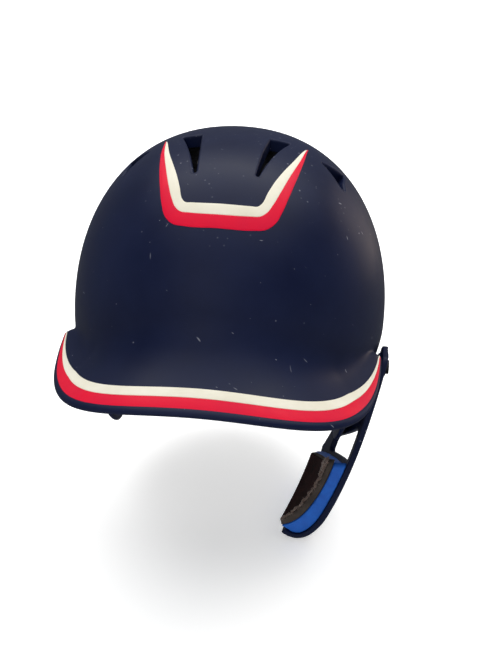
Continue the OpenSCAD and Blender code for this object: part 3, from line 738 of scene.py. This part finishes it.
def lining_sheet():
    """The lining: a thin cloth over the pad's face, its border running in and out by a few sines, as a torn
    edge does."""
    line = curve_line([PAD_FACE], 0.15, 90)
    thick = curve_line([PAD_FACE], 1.1, 90)
    outline = rounded(np.array([c[:2] for c in PAD_OUTLINE], float),
                      np.array([c[2] for c in PAD_OUTLINE], float), 10)
    border = resampled(outline, 0.8)
    k = np.arange(len(border)) * 0.8
    rag = 0.45 * np.sin(k * 1.1) + 0.35 * np.sin(k * 2.63 + 1) + 0.3 * np.sin(k * 0.37 + 2)
    border = offset(border, 0.2 + rag * (border[:, 1] < -100))
    obj = guard_band(line, thick, 90)
    obj.name = "jaw_lining_cloth"
    combine(obj, [prism(border, -10, 150, SIDEWAYS)], "INTERSECT")
    combine(obj, [jaw_room()])
    soften(obj, 0.55, 2)
    return obj, border


def face_x(curve, depth, y, z):
    """x of one of the guard's inner faces at arrays of y and z."""
    line = curve_line([curve], depth, 120)[::-1]
    order = np.argsort(line[:, 1])
    r = np.interp(z, line[order, 1], line[order, 0]) - TOP_X + BOW
    return TOP_X - BOW + np.sqrt(r * r - (y - BOW_Y) ** 2)


def torn_hem(front):
    """The lining's turned front edge: a round tube along the border, its radius and path running in and out
    by sines of unrelated lengths."""
    line = front[np.argsort(-front[:, 1])]
    line = resampled(line, 0.5, closed=False)
    s = np.arange(len(line)) * 0.5
    path = stack(face_x(PAD_FACE, 0.7, line[:, 0], line[:, 1]), line[:, 0], line[:, 1])
    path[:, 0] += 0.5 * np.sin(s * 0.83) + 0.35 * np.sin(s * 1.9 + 1) - 0.3
    path[:, 1] += 0.3 * np.sin(s * 1.27 + 2)
    along = unit(np.gradient(path, axis=0))
    side = unit(np.cross(along, np.array([1.0, 0, 0])))
    over = np.cross(along, side)
    a = np.arange(10) * 2 * np.pi / 10
    r = (0.62 + 0.16 * np.sin(s * 2.3) + 0.12 * np.sin(s * 5.1 + 1))[:, None, None] * (1 + 0.12
            * np.sin(a * 3 + s[:, None]))[..., None]
    r[0] = r[-1] = 0.05
    pts = path[:, None] + r * (side[:, None] * np.cos(a)[:, None] + over[:, None] * np.sin(a)[:, None])
    n = len(line)
    faces = [*quads(n, 10, wrap=True).tolist(), list(range(10)), list(range(10 * n - 1, 10 * n - 11, -1))]
    return mesh_object("jaw_lining_hem", pts.reshape(-1, 3), faces, 60)


def tufts(name, roots, ways, lengths, radius, bend):
    """Short fibres: a three-sided tube along a bent line from each root, tapering to its tip, all computed
    as one array."""
    t = np.linspace(0, 1, 5)[None, :, None]
    side = unit(np.cross(ways, bend))
    path = roots[:, None] + (ways[:, None] * t + bend[:, None] * t * t * 0.5) * lengths[:, None, None]
    other = unit(np.cross(ways, side))
    a = np.arange(3) * 2 * np.pi / 3
    ring = side[:, None, None] * np.cos(a)[:, None] + other[:, None, None] * np.sin(a)[:, None]
    thin = radius * (1 - 0.75 * np.linspace(0, 1, 5))[None, :, None, None]
    pts = (path[:, :, None] + ring * thin).reshape(-1, 3)
    one = quads(5, 3, wrap=True)
    n = len(roots)
    faces = (one[None] + 15 * np.arange(n)[:, None, None]).reshape(-1, 4)
    caps = np.concatenate([np.array([[2, 1, 0]]) + 15 * np.arange(n)[:, None], np.array([[12, 13, 14]])
                           + 15 * np.arange(n)[:, None]])
    return mesh_object(name, pts, [*faces.tolist(), *caps.tolist()], 60)


# ---- Materials ----
def colour(code):
    """Linear colour of an sRGB hex value."""
    parts = [int(code[i:i + 2], 16) / 255 for i in (1, 3, 5)]
    return (*[c / 12.92 if c <= 0.04045 else ((c + 0.055) / 1.055) ** 2.4 for c in parts], 1.0)


def add(mat, kind, settings=None, **inputs):
    """Adds a shader node with its settings, and its inputs as values or as other nodes' outputs."""
    tree = mat.node_tree
    made = tree.nodes.new(kind)
    for key, value in (settings or {}).items():
        setattr(made, key, value)
    for key, value in inputs.items():
        by_number = key[0] == "i" and key[1:].isdigit()
        socket = made.inputs[int(key[1:]) if by_number else key.replace("_", " ")]
        if isinstance(value, bpy.types.NodeSocket):
            tree.links.new(value, socket)
        else:
            socket.default_value = value
    return made


def new_material(name, **sockets):
    mat = bpy.data.materials.new(name)
    mat.use_nodes = True
    shader = mat.node_tree.nodes["Principled BSDF"]
    for key, value in sockets.items():
        shader.inputs[key.replace("_", " ")].default_value = value
    place = add(mat, "ShaderNodeTexCoord").outputs["Object"]
    return mat, shader, place


def feed(mat, source, shader, socket):
    mat.node_tree.links.new(source, shader.inputs[socket])


def per_mm(size):
    """A pattern's scale in Object coordinates, which are metres, for a real size in millimetres."""
    return 1000.0 / size


def ramp(mat, fac, low, high, a, b):
    """A value or colour that goes from a to b as fac goes from low to high."""
    made = add(mat, "ShaderNodeValToRGB", Fac=fac)
    made.color_ramp.elements[0].position, made.color_ramp.elements[1].position = low, high
    made.color_ramp.elements[0].color, made.color_ramp.elements[1].color = a, b
    return made.outputs["Color"]


def grey(v):
    return (v, v, v, 1.0)


def noise(mat, place, size, detail, rough=0.5):
    """Noise whose blobs are about a size in millimetres apart."""
    made = add(mat, "ShaderNodeTexNoise", Vector=place, Scale=per_mm(size), Detail=detail, Roughness=rough)
    return made.outputs["Fac"]


def cells(mat, place, size, spread=1.0, feature="F1"):
    """A Voronoi node whose cells are about a size in millimetres across."""
    return add(mat, "ShaderNodeTexVoronoi", {"feature": feature}, Vector=place, Scale=per_mm(size),
               Randomness=spread)


def maths(mat, operation, *values):
    """A maths node's result from two or three values."""
    inputs = {f"i{n}": value for n, value in enumerate(values)}
    return add(mat, "ShaderNodeMath", {"operation": operation}, **inputs).outputs[0]


def blended(mat, share, one, other):
    """One colour going to another by a share."""
    return add(mat, "ShaderNodeMix", {"data_type": "RGBA"}, i0=share, i6=one, i7=other).outputs[2]


def relief(mat, shader, height, strength, distance):
    """Bump from a height map; distance is its real depth in millimetres."""
    bump = add(mat, "ShaderNodeBump", Strength=strength, Distance=distance / 1000, Height=height)
    feed(mat, bump.outputs["Normal"], shader, "Normal")


def abs_material(name, base, worn):
    """ABS, injection moulded and satin: a fine spark-eroded grain, soft handling haze, and pale thin scuffs
    where it has been set down."""
    mat, shader, place = new_material(name, IOR=1.49, Specular_IOR_Level=0.17)
    haze = noise(mat, place, 45, 3.0, 0.55)
    patch = noise(mat, place, 16, 2.0)
    warp = add(mat, "ShaderNodeTexNoise", Vector=place, Scale=per_mm(30), Detail=1.0).outputs["Color"]
    bent = add(mat, "ShaderNodeVectorMath", {"operation": "MULTIPLY_ADD"}, i0=warp, i1=(0.02, 0.02, 0.02),
               i2=place).outputs[0]
    scuffs = None
    for turn, gap in (((0.1, 0.2, 1.2), 7), ((1.3, 0.1, 0.4), 8), ((0.8, 0.3, 2.2), 6)):
        spun = add(mat, "ShaderNodeMapping", {"vector_type": "TEXTURE"}, Vector=bent, Rotation=turn,
                   Scale=(1.0, 9.0, 1.0)).outputs[0]
        spots = cells(mat, spun, gap)
        line = ramp(mat, spots.outputs["Distance"], 0.03, 0.06, grey(0.8), grey(0))
        picked = ramp(mat, spots.outputs["Color"], 0.52, 0.6, grey(0), grey(1))
        one = maths(mat, "MULTIPLY", line, picked)
        scuffs = one if scuffs is None else maths(mat, "MAXIMUM", scuffs, one)
    # Dots of dust and nicks, about a millimetre across and a couple of centimetres apart
    specks = cells(mat, place, 15)
    dots = ramp(mat, specks.outputs["Distance"], 0.014, 0.04, grey(0.6), grey(0))
    marks = maths(mat, "MAXIMUM", scuffs, dots)
    mask = ramp(mat, patch, 0.36, 0.54, grey(0.1), grey(1))
    marks = maths(mat, "MULTIPLY", marks, mask)
    # The crown collects dust: specks every few millimetres, only near the top
    dust = cells(mat, place, 5)
    fine = ramp(mat, dust.outputs["Distance"], 0.07, 0.14, grey(0.8), grey(0))
    height = add(mat, "ShaderNodeSeparateXYZ", Vector=place).outputs["Z"]
    high = add(mat, "ShaderNodeMapRange", Value=height, From_Min=0.07, From_Max=0.112).outputs["Result"]
    some = maths(mat, "MULTIPLY", high, ramp(mat, haze, 0.45, 0.6, grey(0), grey(1)))
    fine = maths(mat, "MULTIPLY", fine, some)
    marks = maths(mat, "MAXIMUM", marks, fine)
    body = ramp(mat, haze, 0.3, 0.72, colour(base), colour(worn))
    faded = blended(mat, marks, body, colour("#8a8c98"))
    feed(mat, faded, shader, "Base Color")
    feed(mat, ramp(mat, haze, 0.25, 0.75, grey(0.36), grey(0.5)), shader, "Roughness")
    # The grain is 0.5 mm apart, a little coarser than the real one so that it shows
    grain = noise(mat, place, 0.5, 2.0)
    relief(mat, shader, grain, 0.22, 0.03)
    return mat


def vinyl_material(name, base, dull):
    """Cast vinyl film, printed and stuck down: even colour, satin, with a faint orange peel from the shell
    below."""
    mat, shader, place = new_material(name, IOR=1.45, Specular_IOR_Level=0.12)
    haze = noise(mat, place, 20, 4.0, 0.6)
    feed(mat, ramp(mat, haze, 0.35, 0.75, colour(base), colour(dull)), shader, "Base Color")
    feed(mat, ramp(mat, haze, 0.3, 0.7, grey(0.34), grey(0.48)), shader, "Roughness")
    peel = noise(mat, place, 2.2, 1.0)
    relief(mat, shader, peel, 0.15, 0.04)
    return mat


def bead_foam_material(name):
    """Expanded polypropylene, steam moulded: fused beads about 3 mm across whose outlines show as fine dark
    grooves."""
    mat, shader, place = new_material(name, IOR=1.45, Specular_IOR_Level=0.3)
    spots = cells(mat, place, 3.2, 0.85, "DISTANCE_TO_EDGE")
    edge = ramp(mat, spots.outputs["Distance"], 0.0, 0.14, grey(0), grey(1))
    tone = cells(mat, place, 3.2, 0.85).outputs["Color"]
    bead = blended(mat, ramp(mat, tone, 0.2, 0.8, grey(0), grey(1)), colour("#141418"), colour("#222228"))
    feed(mat, blended(mat, edge, colour("#08080a"), bead), shader, "Base Color")
    feed(mat, ramp(mat, tone, 0.2, 0.8, grey(0.55), grey(0.8)), shader, "Roughness")
    relief(mat, shader, edge, 0.6, 0.25)
    return mat


def knit_material(name, base, light, pitch, sheen):
    """Warp-knit polyester over foam: rows of loops at the stitch pitch, with a brushed nap that catches
    light at its edges."""
    mat, shader, place = new_material(name, IOR=1.5, Specular_IOR_Level=0.2, Sheen_Weight=sheen,
                                      Sheen_Roughness=0.45)
    one = add(mat, "ShaderNodeTexWave", {"wave_type": "BANDS", "bands_direction": "DIAGONAL"}, Vector=place,
              Scale=per_mm(pitch) * 0.314, Distortion=1.2, Detail=1.0).outputs["Fac"]
    spun = add(mat, "ShaderNodeMapping", Vector=place, Rotation=(0.3, 1.4, 0.8)).outputs[0]
    two = add(mat, "ShaderNodeTexWave", {"wave_type": "BANDS", "bands_direction": "DIAGONAL"}, Vector=spun,
              Scale=per_mm(pitch) * 0.314, Distortion=1.2, Detail=1.0).outputs["Fac"]
    loops = maths(mat, "MULTIPLY", one, two)
    fuzz = noise(mat, place, 6, 6.0, 0.7)
    mixed = maths(mat, "MULTIPLY_ADD", loops, 0.5, fuzz)
    feed(mat, ramp(mat, mixed, 0.4, 0.95, colour(base), colour(light)), shader, "Base Color")
    feed(mat, ramp(mat, fuzz, 0.3, 0.7, grey(0.8), grey(0.95)), shader, "Roughness")
    relief(mat, shader, mixed, 0.7, 0.25)
    return mat


def nap_material(name, base, light):
    """Brushed polyester lining: a dark nap whose tufts lie in streaks, rubbed flat and a little paler in
    places."""
    mat, shader, place = new_material(name, IOR=1.5, Specular_IOR_Level=0.06, Sheen_Weight=0.03,
                                      Sheen_Roughness=0.4, Sheen_Tint=colour("#a06a5c"))
    long = add(mat, "ShaderNodeMapping", Vector=place, Scale=(1.0, 0.35, 1.0)).outputs[0]
    tuft = noise(mat, long, 1.6, 6.0, 0.7)
    rubbed = noise(mat, place, 14, 3.0)
    both = maths(mat, "MULTIPLY_ADD", rubbed, 0.5, tuft)
    feed(mat, ramp(mat, both, 0.55, 1.0, colour(base), colour(light)), shader, "Base Color")
    feed(mat, ramp(mat, tuft, 0.3, 0.7, grey(0.8), grey(0.97)), shader, "Roughness")
    relief(mat, shader, tuft, 0.8, 0.4)
    return mat


def cell_foam_material(name, base, light, pore, depth, rough=0.8):
    """Cross-linked foam cut from sheet: fine cells that open on its cut faces, with soft mottling from
    handling."""
    mat, shader, place = new_material(name, IOR=1.45, Specular_IOR_Level=0.28)
    pores = cells(mat, place, pore).outputs["Distance"]
    mottle = noise(mat, place, 9, 5.0, 0.65)
    feed(mat, ramp(mat, mottle, 0.3, 0.72, colour(base), colour(light)), shader, "Base Color")
    feed(mat, ramp(mat, mottle, 0.3, 0.7, grey(rough - 0.1), grey(rough + 0.08)), shader, "Roughness")
    relief(mat, shader, pores, 0.5, depth)
    return mat


def metal_material(name, base, worn, rough):
    """Plated metal: a soft cloudy plating with fine turning marks."""
    mat, shader, place = new_material(name, Metallic=1.0)
    cloud = noise(mat, place, 3, 3.0)
    feed(mat, ramp(mat, cloud, 0.3, 0.7, colour(base), colour(worn)), shader, "Base Color")
    feed(mat, ramp(mat, cloud, 0.3, 0.7, grey(rough), grey(rough + 0.14)), shader, "Roughness")
    lines = noise(mat, place, 0.4, 1.0)
    relief(mat, shader, lines, 0.2, 0.02)
    return mat


def rubber_material(name):
    """Nitrile rubber, moulded and matt, with a dusty bloom."""
    mat, shader, place = new_material(name, IOR=1.52, Specular_IOR_Level=0.3)
    dust = noise(mat, place, 2, 4.0)
    feed(mat, ramp(mat, dust, 0.35, 0.8, colour("#111113"), colour("#2b2b2d")), shader, "Base Color")
    feed(mat, ramp(mat, dust, 0.3, 0.7, grey(0.7), grey(0.9)), shader, "Roughness")
    relief(mat, shader, dust, 0.3, 0.05)
    return mat


NAVY = abs_material("navy_moulded_abs", "#0c1431", "#121b3a")
RED = vinyl_material("red_cast_vinyl", "#e20b33", "#d81038")
CREAM = vinyl_material("cream_cast_vinyl", "#f0ebd9", "#e7e1cb")
BEADS = bead_foam_material("black_bead_foam")
KNIT = knit_material("dark_brushed_knit", "#15100f", "#33282a", 1.0, 0.5)
EAR = cell_foam_material("black_soft_foam", "#0b0b0d", "#17171a", 0.9, 0.12)
BLUE = cell_foam_material("blue_crosslinked_foam", "#1450ac", "#1f66c6", 0.8, 0.1, 0.62)
GREY = cell_foam_material("grey_open_foam", "#2f2926", "#4c433d", 1.1, 0.3)
LINING = nap_material("brown_brushed_lining", "#120607", "#34191a")
FRAY = knit_material("frayed_backing_thread", "#5a4a44", "#8a766a", 0.6, 0.4)
RUBBER = rubber_material("matt_nitrile_rubber")
ZINC = metal_material("black_zinc_plated_steel", "#2c2c30", "#46474b", 0.36)
NICKEL = metal_material("nickel_plated_brass", "#b3aea4", "#9d978c", 0.28)


def finish_piece(obj, material, slot, body, *nodes):
    """Gives a piece its finish, and says which body it rides on and which nodes it replaces; slot is not
    used.
    """
    obj.data.materials.clear()
    obj.data.materials.append(material)
    if nodes:
        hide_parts(*nodes)
    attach(obj, body)
    return obj


def keep_node(name, material):
    """A hard CAD piece stays as it is and takes a finish."""
    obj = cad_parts[name]
    obj.data.materials.clear()
    obj.data.materials.append(material)


# ---- The helmet ----
finish_piece(outer_shell(), NAVY, "navy_abs", "helmet", "outer_shell")
finish_piece(vent_lips(), NAVY, "navy_abs", "helmet")
finish_piece(join([ear_ring(1), ear_ring(-1)]), NAVY, "navy_abs", "helmet")
finish_piece(brim_stripe("stripe_red", BEAD, RED_TOP), RED, "red_vinyl", "helmet", "brim_stripe_red")
finish_piece(brim_stripe("stripe_cream", RED_TOP + 0.05, WHITE_TOP), CREAM, "cream_vinyl", "helmet",
             "brim_stripe_white")
finish_piece(crown_decal("crown_band_red", DECAL[0], DECAL[1]), RED, "red_vinyl", "helmet",
             "crown_decal_red")
finish_piece(crown_decal("crown_band_cream", DECAL[1], DECAL[2]), CREAM, "cream_vinyl", "helmet",
             "crown_decal_white")

finish_piece(crown_liner(), BEADS, "liner_foam", "helmet", "liner_crown")
for name, node, b0, b1, v0, v1 in (
        ("liner_front_block", "liner_front", -52, 52, 0.47, 1.14), ("liner_left_block", "liner_left", 54,
                                                                    124, 0.47, 1.08),
        ("liner_right_block", "liner_right", -124, -54, 0.47, 1.08), ("liner_rear_block", "liner_rear",
                                                                      126, 234, 0.47, 1.5)):
    block = cushion(name, lined_face, b0, b1, v0, v1, LINER_OUT, LINER_IN, 2.4, 0, 0.02, 90, 56)
    finish_piece(block, BEADS, "liner_foam", "helmet", node)
for name, node, b0, b1, v0, v1 in (
        ("brow_cushion", "brow_pad", -42, 42, 0.78, 1.12), ("side_cushion_left", "side_pad_left", 60, 118,
                                                            0.68, 1.06),
        ("side_cushion_right", "side_pad_right", -118, -60, 0.68, 1.06), ("nape_cushion", "nape_pad", 140,
                220, 1.05, 1.42)):
    pad = cushion(name, lined_face, b0, b1, v0, v1, PAD_OUT, PAD_IN, 2.9, 1.2, 0.16, 90, 40)
    finish_piece(pad, KNIT, "comfort_fabric", "helmet", node)
finish_piece(crown_cushion(), KNIT, "comfort_fabric", "helmet", "crown_pad")
finish_piece(ear_cushion("ear_cushion_left", 1), EAR, "ear_foam", "helmet", "ear_pad_left")
finish_piece(ear_cushion("ear_cushion_right", -1), EAR, "ear_foam", "helmet", "ear_pad_right")

# ---- The jaw guard ----
finish_piece(jaw_plate(), NAVY, "navy_abs", "jaw_guard", "jaw_guard_plate")
foam = guard_layer("jaw_foam_block", curve_line(SECTION, GUARD_WALL + 0.15, 60),
                   curve_line([FOAM_FACE], 0, 50),
                   FOAM_OUTLINE, 0.7, 3)
finish_piece(foam, BLUE, "blue_foam", "jaw_guard", "jaw_foam")
pad = guard_layer("jaw_pad_block", curve_line([FOAM_FACE], 0.15, 50), curve_line([PAD_FACE], 0, 50),
                  PAD_OUTLINE, 0.7, 3)
finish_piece(pad, GREY, "grey_foam", "jaw_guard", "jaw_pad")
cloth, edge = lining_sheet()
finish_piece(cloth, LINING, "brushed_lining", "jaw_guard", "jaw_pad_lining")
front = edge[(edge[:, 0] < -44) & (face_x(PAD_FACE, 0.5, edge[:, 0], edge[:, 1]) > jaw_line(edge[:, 0])
                                   + 0.5)]
count = 900
pick = front[rng.integers(0, len(front), count)] + rng.normal(0, 0.3, (count, 2))
out2 = unit(pick - edge.mean(0))
roots = stack(face_x(PAD_FACE, 0.6, pick[:, 0], pick[:, 1]), pick[:, 0], pick[:, 1])
ways = unit(stack(rng.normal(-0.35, 0.5, count), out2[:, 0] + rng.normal(0, 0.5, count), out2[:, 1]
                  + rng.normal(0, 0.5, count)))
threads = tufts("jaw_lining_fray", roots, ways, rng.uniform(0.7, 2.1, count), 0.17,
                unit(rng.normal(0, 1, (count, 3))) * 0.9)
finish_piece(threads, FRAY, "brushed_lining", "jaw_guard")
hem = finish_piece(torn_hem(front), FRAY, "brushed_lining", "jaw_guard")

# ---- Fasteners ----
keep_node("guard_spacers", RUBBER)
for name in ("screw_washers", "pivot_screw", "clamp_screws", "tee_nuts"):
    keep_node(name, ZINC)
for name in ("strap_studs", "strap_stud_backs"):
    keep_node(name, NICKEL)


# ---- Floor, lights and camera ----
def floor():
    """A wide pale floor just under the lowest point, rising behind in a quarter circle to a pale wall,
    glowing a little as painted light.
    """
    t = np.linspace(0, np.pi / 2, 24)
    line = np.concatenate([[(-4.0, 0.0)], np.c_[1.6 + 1.2 * np.sin(t), 1.2 - 1.2 * np.cos(t)],
                           [(2.8, 6.0)]])
    x = np.array([-6.0, 6.0])
    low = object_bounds()[0][2] - 0.002
    pts = np.array([[(a, y, z + low) for a in x] for y, z in line]).reshape(-1, 3)
    mesh = bpy.data.meshes.new("studio_floor")
    mesh.from_pydata(pts.tolist(), [], quads(len(line), 2)[:, ::-1].tolist())
    mesh.polygons.foreach_set("use_smooth", [True] * len(mesh.polygons))
    obj = bpy.data.objects.new("studio_floor", mesh)
    bpy.context.scene.collection.objects.link(obj)
    # The paper glows a little: painted light that lifts the helmet's shadow off the floor and lights the
    # helmet's underside.
    mat, shader, place = new_material("matt_white_paper_painted_glow", Base_Color=colour("#f6f6f5"), Roughness=0.95,
                                      Specular_IOR_Level=0.1,
                                      Emission_Color=colour("#ffffff"), Emission_Strength=0.45)
    mesh.materials.append(mat)
    obj.visible_glossy = False


def softbox(name, place, aim, size, power, tint="#ffffff"):
    light = bpy.data.lights.new(name, "AREA")
    light.shape = "RECTANGLE"
    light.size, light.size_y = size
    light.energy = power
    light.color = colour(tint)[:3]
    obj = bpy.data.objects.new(name, light)
    way = Vector(aim) - Vector(place)
    obj.matrix_world = Matrix.Translation(place) @ way.to_track_quat("-Z", "Y").to_matrix().to_4x4()
    bpy.context.scene.collection.objects.link(obj)


def camera():
    """The camera: 650 mm from the origin, 5.5 degrees to the wearer's left of the nose and 22 degrees up,
    rolled by 2.3 degrees."""
    az, el, roll = np.radians([5.5, 22, 2.26])
    back = np.array([math.sin(az) * math.cos(el), -math.cos(az) * math.cos(el), math.sin(el)])
    right = np.array([math.cos(az), math.sin(az), 0])
    up = np.cross(back, right)
    across = right * math.cos(roll) + up * math.sin(roll)
    over = -right * math.sin(roll) + up * math.cos(roll)
    data = bpy.data.cameras.new("camera")
    data.sensor_width = 36
    data.lens = 948.63 / 659 * 36
    data.shift_x, data.shift_y = (247 - 230.49) / 659, (306.86 - 329.5) / 659
    data.clip_start, data.clip_end = 0.05, 30
    obj = bpy.data.objects.new("camera", data)
    m = Matrix([[*v] for v in np.array([across, over, back]).T]).to_4x4()
    m.translation = Vector(back * 0.65)
    obj.matrix_world = m
    bpy.context.scene.collection.objects.link(obj)
    bpy.context.scene.camera = obj


floor()
softbox("overhead_softbox", (0.0, 0.1, 1.7), (0, 0, 0), (3.0, 2.6), 38)
softbox("front_softbox", (-0.6, -2.6, 1.3), (0, 0, 0), (2.2, 1.6), 12)
softbox("right_softbox", (1.4, 1.5, 0.3), (0, 0, 0), (0.5, 1.0), 4.5, "#ffe9d8")
softbox("backdrop_light", (0, 0.9, 1.8), (0, 2.4, 0.4), (2.5, 1.0), 40)
world = bpy.data.worlds.new("studio")
world.use_nodes = True
world.node_tree.nodes["Background"].inputs["Color"].default_value = colour("#dfe3ea")
world.node_tree.nodes["Background"].inputs["Strength"].default_value = 0.22
bpy.context.scene.world = world
bpy.context.scene.view_settings.view_transform = "Standard"
camera()
